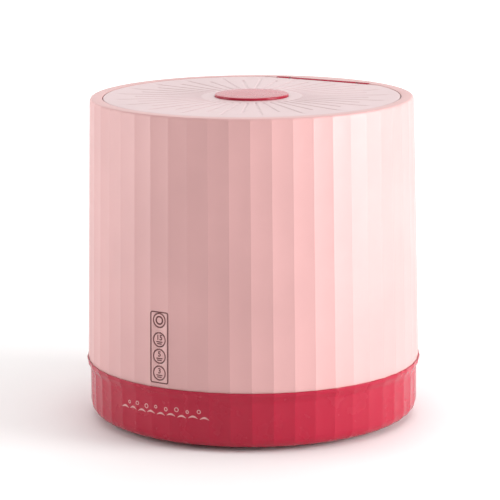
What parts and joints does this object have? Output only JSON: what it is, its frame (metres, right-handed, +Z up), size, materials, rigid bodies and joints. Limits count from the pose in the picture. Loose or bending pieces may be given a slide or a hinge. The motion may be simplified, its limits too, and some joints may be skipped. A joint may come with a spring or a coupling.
{
  "type": "mini washing machine",
  "caption": "Small free-standing washing machine: fluted round drum on a base pan, flat hinged lid, wash tub with a pulsator, geared motor drive, front keys and rear drain.",
  "frame": {"origin": "on the floor, at the centre of the round base", "axes": "+Z up along the drum's axis; -Y towards the control panel, +Y towards the lid's hinge, the drain and the power inlet; +X to the right seen from the front"},
  "size_m": [0.2728, 0.2722, 0.2632],
  "materials": {
    "pink_shell": "gloss moulded",
    "lid_pink": "gloss moulded",
    "red_shell": "gloss moulded",
    "tub_white": "satin moulded",
    "liner_white": "satin moulded",
    "trim_brown": "printed gloss",
    "key_pink": "gloss moulded",
    "soft_grey": "matt",
    "soft_white": "matt silicone",
    "foot_rubber": "matt",
    "gear_white": "acetal",
    "case_grey": "moulded",
    "steel": "zinc plated",
    "shaft_steel": "ground",
    "bronze": "sintered bronze",
    "motor_steel": "rolled",
    "magnet_dark": "ferrite",
    "board_green": "solder mask",
    "black_plastic": "moulded",
    "wire_jacket": "vinyl"
  },
  "bodies": {
    "housing": {"base_pan": "red_shell", "rubber_feet": "foot_rubber", "base_screws": "steel", "outer_barrel": "pink_shell", "top_ring": "pink_shell", "control_panel": "key_pink", "panel_trim": "trim_brown", "key_switches": "black_plastic", "control_board": "board_green", "board_screws": "steel", "hinge_bracket": "red_shell", "hinge_screws": "steel", "hinge_pin": "shaft_steel", "wash_tub": "tub_white", "tub_screws": "steel", "drain_strainer": "shaft_steel", "idler_axle": "shaft_steel", "motor_can": "motor_steel", "motor_endcap": "case_grey", "motor_magnets": "magnet_dark", "motor_screws": "steel", "gearbox_lower": "case_grey", "gearbox_upper": "case_grey", "gearbox_screws": "steel", "upper_bearing": "bronze", "lower_bearing": "bronze", "shaft_seal": "soft_grey", "drain_hose": "soft_grey", "drain_spigot": "black_plastic", "power_board": "board_green", "power_board_screws": "steel", "dc_inlet": "black_plastic", "motor_leads": "wire_jacket", "panel_leads": "wire_jacket"},
    "lid": {"lid_cover": "lid_pink", "lid_disc": "red_shell", "lid_liner": "liner_white", "lid_gasket": "soft_white", "lid_screws": "steel", "lid_hinge_barrel": "red_shell"},
    "pulsator": {"pulsator": "tub_white", "pulsator_cap": "red_shell", "pulsator_screw": "steel", "output_shaft": "shaft_steel", "output_gear": "gear_white"},
    "idler": {"idler_gear": "gear_white"},
    "motor_rotor": {"motor_shaft": "shaft_steel", "motor_pinion": "bronze"},
    "drain_plug": {"drain_plug": "soft_grey"},
    "power_button": {"power_button": "key_pink"},
    "program_button_long": {"program_button_long": "key_pink"},
    "program_button_medium": {"program_button_medium": "key_pink"},
    "program_button_short": {"program_button_short": "key_pink"}
  },
  "joints": [
    {"name": "lid_hinge", "type": "hinge", "parent": "housing", "child": "lid", "pos_m": [0, 0.11, 0.2592], "axis": [-1, 0, 0], "range_deg": [0, 105]},
    {"name": "pulsator_spin", "type": "hinge", "parent": "housing", "child": "pulsator", "pos_m": [0, 0, 0.09], "axis": [0, 0, 1], "continuous": true},
    {"name": "idler_spin", "type": "hinge", "parent": "housing", "child": "idler", "pos_m": [0, 0.04375, 0.066], "axis": [0, 0, 1], "continuous": true},
    {"name": "motor_spin", "type": "hinge", "parent": "housing", "child": "motor_rotor", "pos_m": [-0.025, 0.03355, 0.04], "axis": [0, 0, 1], "continuous": true},
    {"name": "power_press", "type": "slide", "parent": "housing", "child": "power_button", "axis": [0, 0.9998, -0.0216], "range_m": [0, 0.0008], "stiffness_N_per_m": 600, "springref_m": -0.0008},
    {"name": "program_long_press", "type": "slide", "parent": "housing", "child": "program_button_long", "axis": [0, 0.9998, -0.0216], "range_m": [0, 0.0008], "stiffness_N_per_m": 600, "springref_m": -0.0008},
    {"name": "program_medium_press", "type": "slide", "parent": "housing", "child": "program_button_medium", "axis": [0, 0.9998, -0.0216], "range_m": [0, 0.0008], "stiffness_N_per_m": 600, "springref_m": -0.0008},
    {"name": "program_short_press", "type": "slide", "parent": "housing", "child": "program_button_short", "axis": [0, 0.9998, -0.0216], "range_m": [0, 0.0008], "stiffness_N_per_m": 600, "springref_m": -0.0008},
    {"name": "drain_plug_pull", "type": "slide", "parent": "housing", "child": "drain_plug", "axis": [0, 1, 0], "range_m": [0, 0.03]}
  ],
  "couplings": [
    {"joint": "idler_spin", "follows": "pulsator_spin", "ratio": -4},
    {"joint": "motor_spin", "follows": "pulsator_spin", "ratio": 14}
  ]
}
